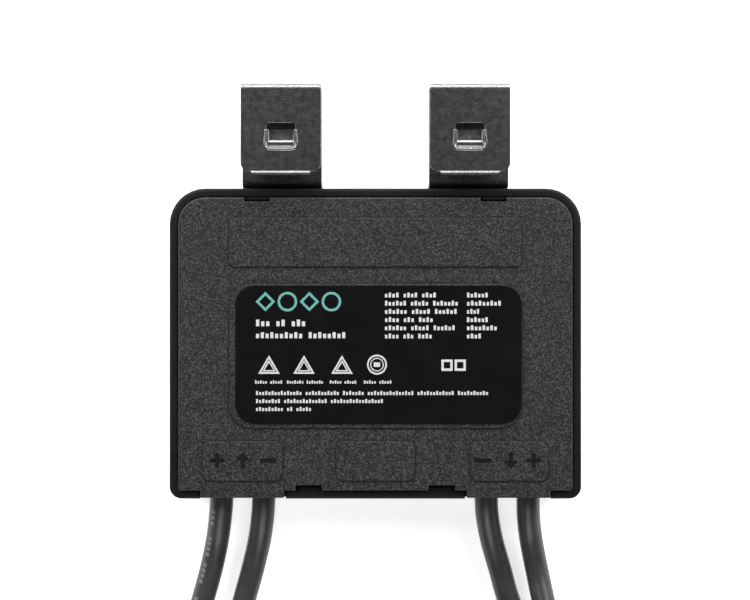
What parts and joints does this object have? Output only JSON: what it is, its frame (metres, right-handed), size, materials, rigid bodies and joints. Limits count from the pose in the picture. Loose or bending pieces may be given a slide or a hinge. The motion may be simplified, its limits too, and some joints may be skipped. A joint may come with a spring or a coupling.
{
  "type": "photovoltaic power optimizer",
  "caption": "Dark plastic clip-on solar module power optimizer with two spring-steel frame clips, a blank-marked label and four cable leads with round connectors.",
  "frame": {"origin": "on the resting face, under the middle of the housing and clips together", "axes": "+X across the housing towards the output leads, +Y towards the two spring clips, +Z out of the labelled cover"},
  "size_m": [0.1115, 0.2898, 0.0263],
  "materials": {
    "housing_plastic": "satin moulded, near black",
    "cover_plastic": "fine sandy moulded texture, dark grey",
    "label_film": "semi-gloss black print film",
    "black_rubber": "matt",
    "spring_steel": "dark reflective with fine scratches",
    "zinc_steel": "bright zinc",
    "board_laminate": "green solder mask",
    "potting_resin": "dull cast resin",
    "ferrite": "matt sintered",
    "copper": "tinned and enamelled copper",
    "chip_epoxy": "matt epoxy",
    "capacitor_sleeve": "shrink sleeve",
    "cable_jacket": "satin, soft sheen",
    "connector_plastic": "fine moulded texture"
  },
  "bodies": {
    "root": {"board_screw_1": "zinc_steel", "board_screw_2": "zinc_steel", "board_screw_3": "zinc_steel", "board_screw_4": "zinc_steel", "bulk_capacitor_1": "capacitor_sleeve", "bulk_capacitor_2": "capacitor_sleeve", "bulk_capacitor_3": "capacitor_sleeve", "bypass_diode": "chip_epoxy", "circuit_board": "board_laminate", "controller_chip": "chip_epoxy", "cover_gasket": "black_rubber", "current_shunt": "copper", "filter_choke": "ferrite", "front_cover": "cover_plastic", "in_minus_connector_body": "connector_plastic", "in_minus_connector_nut": "connector_plastic", "in_minus_lead": "cable_jacket", "in_minus_lug": "copper", "in_minus_seal": "black_rubber", "in_plus_connector_body": "connector_plastic", "in_plus_connector_nut": "connector_plastic", "in_plus_lead": "cable_jacket", "in_plus_lug": "copper", "in_plus_seal": "black_rubber", "inductor_winding": "copper", "left_clip": "spring_steel", "left_clip_screw_1": "zinc_steel", "left_clip_screw_2": "zinc_steel", "line_transformer": "ferrite", "out_minus_coil": "cable_jacket", "out_minus_connector_body": "connector_plastic", "out_minus_connector_nut": "connector_plastic", "out_minus_lead": "cable_jacket", "out_minus_lug": "copper", "out_minus_seal": "black_rubber", "out_minus_tail": "cable_jacket", "out_plus_coil": "cable_jacket", "out_plus_connector_body": "connector_plastic", "out_plus_connector_nut": "connector_plastic", "out_plus_lead": "cable_jacket", "out_plus_lug": "copper", "out_plus_seal": "black_rubber", "out_plus_tail": "cable_jacket", "potting_compound": "potting_resin", "power_inductor": "ferrite", "power_transistor_1": "chip_epoxy", "power_transistor_2": "chip_epoxy", "power_transistor_3": "chip_epoxy", "power_transistor_4": "chip_epoxy", "rating_label": "label_film", "rear_housing": "housing_plastic", "right_clip": "spring_steel", "right_clip_screw_1": "zinc_steel", "right_clip_screw_2": "zinc_steel"},
    "left_jaw": {"left_clip_jaw": "spring_steel"},
    "right_jaw": {"right_clip_jaw": "spring_steel"}
  },
  "joints": [
    {"name": "left_clip_flex", "type": "hinge", "parent": "root", "child": "left_jaw", "pos_m": [-0.0235, 0.05125, 0.022], "axis": [-1, 0, 0], "range_deg": [0, 6], "stiffness_Nm_per_rad": 4},
    {"name": "right_clip_flex", "type": "hinge", "parent": "root", "child": "right_jaw", "pos_m": [0.0235, 0.05125, 0.022], "axis": [-1, 0, 0], "range_deg": [0, 6], "stiffness_Nm_per_rad": 4}
  ]
}
